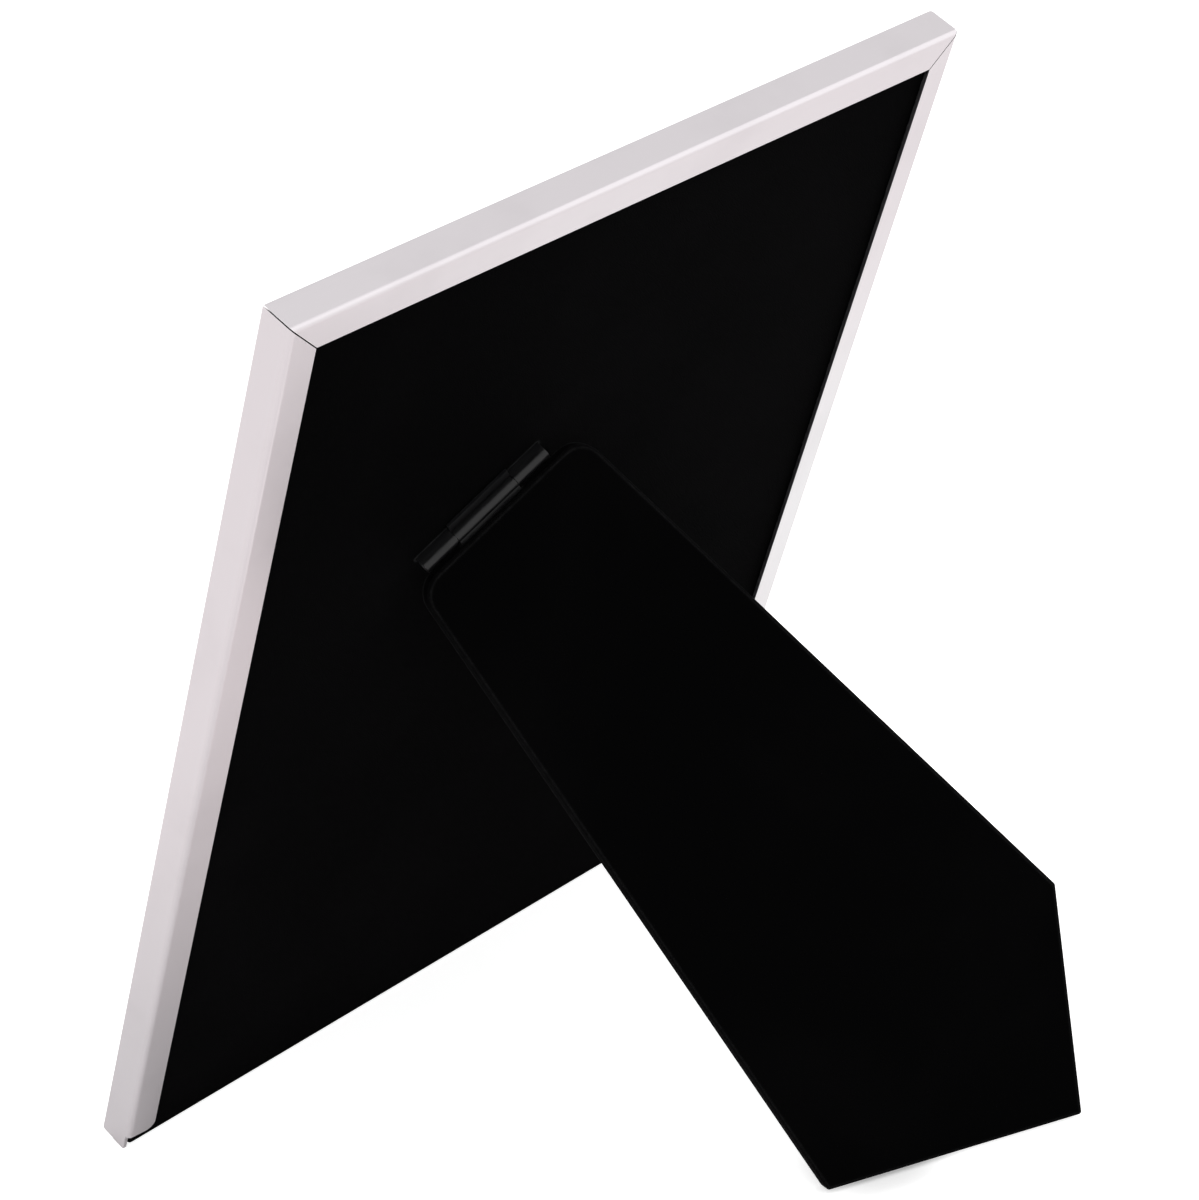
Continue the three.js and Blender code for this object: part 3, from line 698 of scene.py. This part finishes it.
def slices_of(name, axes, level_axis, level):
    """The boxes, in local axes, round each loop where a plane across one axis cuts a solid."""
    form = bmesh.new()
    form.from_mesh(solids[name].data)
    bmesh.ops.transform(form, matrix=axes.inverted(), verts=form.verts)
    bmesh.ops.remove_doubles(form, verts=form.verts, dist=TOUCHING)
    normal = Vector(level_axis)
    cut = bmesh.ops.bisect_plane(
        form, geom=form.verts[:] + form.edges[:] + form.faces[:], plane_co=normal * level, plane_no=normal,
        clear_inner=True, clear_outer=True,
    )
    left = {vertex for vertex in cut["geom_cut"] if isinstance(vertex, bmesh.types.BMVert)}
    boxes = []
    while left:
        loop = {left.pop()}
        edge_of_loop = set(loop)
        while edge_of_loop:
            vertex = edge_of_loop.pop()
            found = {edge.other_vert(vertex) for edge in vertex.link_edges} & left
            left -= found
            loop |= found
            edge_of_loop |= found
        low = Vector([min(vertex.co[axis] for vertex in loop) for axis in range(3)])
        high = Vector([max(vertex.co[axis] for vertex in loop) for axis in range(3)])
        boxes.append((low, high))
    form.free()
    return boxes


def cut_slits(piece, boxes, axes, reach):
    """Cuts boxes out of a piece, each grown by the slit's room and by a reach through the cloth."""
    form = bmesh.new()
    for low, high in boxes:
        room = Vector([reach[axis] or SLIT_ROOM for axis in range(3)])
        size = high - low + 2 * room
        place = axes @ Matrix.Translation((low + high) / 2) @ Matrix.Diagonal((*size, 1))
        bmesh.ops.create_cube(form, size=1, matrix=place)
    mesh = bpy.data.meshes.new("slit_cutter")
    form.to_mesh(mesh)
    form.free()
    cutter = bpy.data.objects.new("slit_cutter", mesh)
    bpy.context.collection.objects.link(cutter)
    slits = piece.modifiers.new("slits", "BOOLEAN")
    slits.object = cutter
    slits.operation = "DIFFERENCE"
    slits.solver = "EXACT"
    return cutter


def settle(piece, *helpers):
    """Makes a piece's modifiers part of its mesh, and removes the objects that helped."""
    scene_state = bpy.context.evaluated_depsgraph_get()
    made = bpy.data.meshes.new_from_object(piece.evaluated_get(scene_state))
    piece.modifiers.clear()
    piece.data = made
    made.set_sharp_from_angle(angle=SMOOTH_BELOW)
    for helper in helpers:
        bpy.data.objects.remove(helper)


# %% [markdown]
# The facing of the back covers the whole board. The strut's facing has five sides, because its foot is
# cut to stand either way up. Both are cut flat, glued, and pulled round the edges, so as sheets of cloth
# they are stretched.

# %% Velvet on the back and on the strut


def velvet_facing(name, node, axes, leaf, slit_axes, level_axis, level):
    """A velvet facing that stands for a solid, with slits for the hinge's leaf."""
    outline, face, rim = flat_outline(node, axes)
    piece = mesh_of_rings(name, facing_rings(outline, face, rim), axes)
    low = [min(point[axis] for point in outline) for axis in (0, 1)]
    high = [max(point[axis] for point in outline) for axis in (0, 1)]
    flat = [high[axis] - low[axis] + 2 * (rim - face) for axis in (0, 1)]
    area = area_of(piece)
    cloth = piece.modifiers.new("cloth", "SOLIDIFY")
    cloth.thickness = CLOTH
    cloth.offset = -1
    reach = [SLIT_REACH * abs(part) for part in level_axis]
    boxes = slices_of(leaf, slit_axes, level_axis, level(face))
    settle(piece, cut_slits(piece, boxes, slit_axes, reach))
    piece.data.materials.append(black_velvet)
    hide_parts(node)
    print(name, "slits:", len(boxes), "flat:", [round(size / MM, 1) for size in flat], "mm")
    return piece, flat, area


hinge_level = (picture_axes.inverted() @ hinge_axes.translation).z
velvet_back, flat, _ = velvet_facing(
    "velvet_back", "back_velvet", picture_axes,
    "hinge_back_leaf", hinge_axes, (0, 0, 1), lambda face: face + CLOTH / 2 - hinge_level,
)
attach(velvet_back, "easel_back")

strut_top = min(point.y for point in flat_outline("strut_velvet", strut_axes)[0])
velvet_strut, flat, area = velvet_facing(
    "velvet_strut", "strut_velvet", strut_axes,
    "hinge_strut_leaf", strut_axes, (0, 1, 0), lambda face: strut_top + CLOTH / 2,
)
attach(velvet_strut, "strut")

# %% [markdown]
# The photograph has a plain white ground with the faintest shadow at the strut's foot. The floor gives
# off some light of its own to the camera, and to metal and glass that mirror it, and takes the rest from
# the lamps, so that only close shadows darken it. The table was not lit evenly, and the rails show it:
# they mirror shade at the frame's near corner, a warm pool of light between the frame and the strut, and
# a cooler one beyond the far rail. So the mirrored glow is weaker in the first place and stronger in the
# other two. At the strut's foot the floor's own light fades where something is close above it, which an
# Ambient Occlusion node measures. That leaves a small shadow, which goes when the strut is folded away.

# %% Floor
FLOOR_SIZE = 6.0
FLOOR_GLOW_SEEN = 0.77
FLOOR_GLOW_MIRRORED = 0.26
SHADE_GLOW = 0.04
SHADE_CENTRE = Vector((solid_box[1].x, solid_box[0].y, 0))
SHADE_REACH = 0.14
POOL_GLOW = 0.23
POOL_CENTRE = Vector((-0.01, 0.045, 0))
POOL_REACH = 0.15
FOOT_CENTRE = Vector((-0.017, 0.047, 0))
FOOT_REACH = 0.022
FOOT_GLOW = 0.27
FOOT_COVERED = 0.82
CLOSE_ABOVE = 12 * MM
FAR_GLOW = 0.24
FAR_CENTRE = Vector((-0.15, 0.01, 0))
FAR_REACH = 0.13
WHITE = (1, 1, 1, 1)
WARM = (1, 0.88, 0.88, 1)
COOL = (0.9, 1, 0.95, 1)

floor_white, tree, shader = new_material(
    "floor_white", Base_Color=(0.85, 0.85, 0.85, 1), Roughness=1.0, Specular_IOR_Level=0.0,
)
point = add_node(tree, "ShaderNodeNewGeometry").outputs["Position"]


def fade_from(centre, reach, glow_at_centre, glow_beyond):
    """The output of a glow that fades from a centre on the floor to another level."""
    away = add_node(tree, "ShaderNodeVectorMath", {0: point, 1: centre}, operation="DISTANCE")
    return step_between(tree, away.outputs["Value"], 0.0, reach, glow_at_centre, glow_beyond)


shade = fade_from(SHADE_CENTRE, SHADE_REACH, SHADE_GLOW, FLOOR_GLOW_MIRRORED)
pool = fade_from(POOL_CENTRE, POOL_REACH, POOL_GLOW, 0.0)
far_share = fade_from(FAR_CENTRE, FAR_REACH, 1.0, 0.0)
pools = calculate(tree, "ADD", pool, calculate(tree, "MULTIPLY", far_share, FAR_GLOW))
open_above = add_node(tree, "ShaderNodeAmbientOcclusion", {"Distance": CLOSE_ABOVE}, samples=4)
covered = step_between(tree, open_above.outputs["AO"], 1.0, FOOT_COVERED)
foot_shadow = calculate(tree, "MULTIPLY", covered, fade_from(FOOT_CENTRE, FOOT_REACH, 1.0, 0.0))
seen = step_between(tree, foot_shadow, 0.0, 1.0, FLOOR_GLOW_SEEN, FOOT_GLOW)
rays = add_node(tree, "ShaderNodeLightPath").outputs
mirrored = calculate(tree, "MAXIMUM", rays["Is Glossy Ray"], rays["Is Transmission Ray"])
glow = calculate(
    tree, "ADD",
    calculate(tree, "MULTIPLY", rays["Is Camera Ray"], seen),
    calculate(tree, "MULTIPLY", mirrored, calculate(tree, "ADD", shade, pools)),
)
tint = mix_colours(tree, rays["Is Camera Ray"], mix_colours(tree, far_share, WARM, COOL), WHITE)
tree.links.new(tint, shader.inputs["Emission Color"])
tree.links.new(glow, shader.inputs["Emission Strength"])

half = FLOOR_SIZE / 2
mesh = bpy.data.meshes.new("floor")
mesh.from_pydata([(-half, -half, 0), (half, -half, 0), (half, half, 0), (-half, half, 0)], [], [(0, 1, 2, 3)])
mesh.materials.append(floor_white)
floor = bpy.data.objects.new("floor", mesh)
bpy.context.collection.objects.link(floor)
print("floor:", FLOOR_SIZE, "m")

# %% [markdown]
# The room is plain white for the camera and for reflections, and a little dimmer as a light. Two soft
# boxes add shape: a broad one overhead, and one behind the frame that draws the white line along the fold
# of the top rail.

# %% Room and lamps
ROOM_LIGHT = 0.8
ROOM_MIRRORED = 0.92

world = bpy.data.worlds.new("white_room")
bpy.context.scene.world = world
world.use_nodes = True
tree = world.node_tree
rays = add_node(tree, "ShaderNodeLightPath").outputs
mirrored = calculate(tree, "MAXIMUM", rays["Is Glossy Ray"], rays["Is Transmission Ray"])
seen_in_metal = step_between(tree, mirrored, 0.0, 1.0, ROOM_LIGHT, ROOM_MIRRORED)
level = calculate(tree, "MAXIMUM", rays["Is Camera Ray"], seen_in_metal)
tree.nodes["Background"].inputs["Color"].default_value = (1, 1, 1, 1)
tree.links.new(level, tree.nodes["Background"].inputs["Strength"])


def soft_box(name, place, width, height, radiance):
    """A lamp panel that faces the frame, with the brightness of its face given."""
    light = bpy.data.lights.new(name, "AREA")
    light.shape = "RECTANGLE"
    light.size = width
    light.size_y = height
    light.energy = radiance * math.pi * width * height
    lamp = bpy.data.objects.new(name, light)
    lamp.location = place
    lamp.rotation_euler = (CAMERA_AIM - Vector(place)).to_track_quat("-Z", "Y").to_euler()
    bpy.context.collection.objects.link(lamp)
    print(name, round(light.energy, 2), "W")


soft_box("overhead_box", (0.2, -0.1, 1.6), width=1.2, height=1.2, radiance=0.8)
soft_box("rear_box", (-0.85, 0.65, 0.65), width=1.2, height=1.3, radiance=0.42)

# %% [markdown]
# Last, colours are shown as they are, without a film look.

# %% Finish
bpy.context.scene.view_settings.view_transform = "Standard"
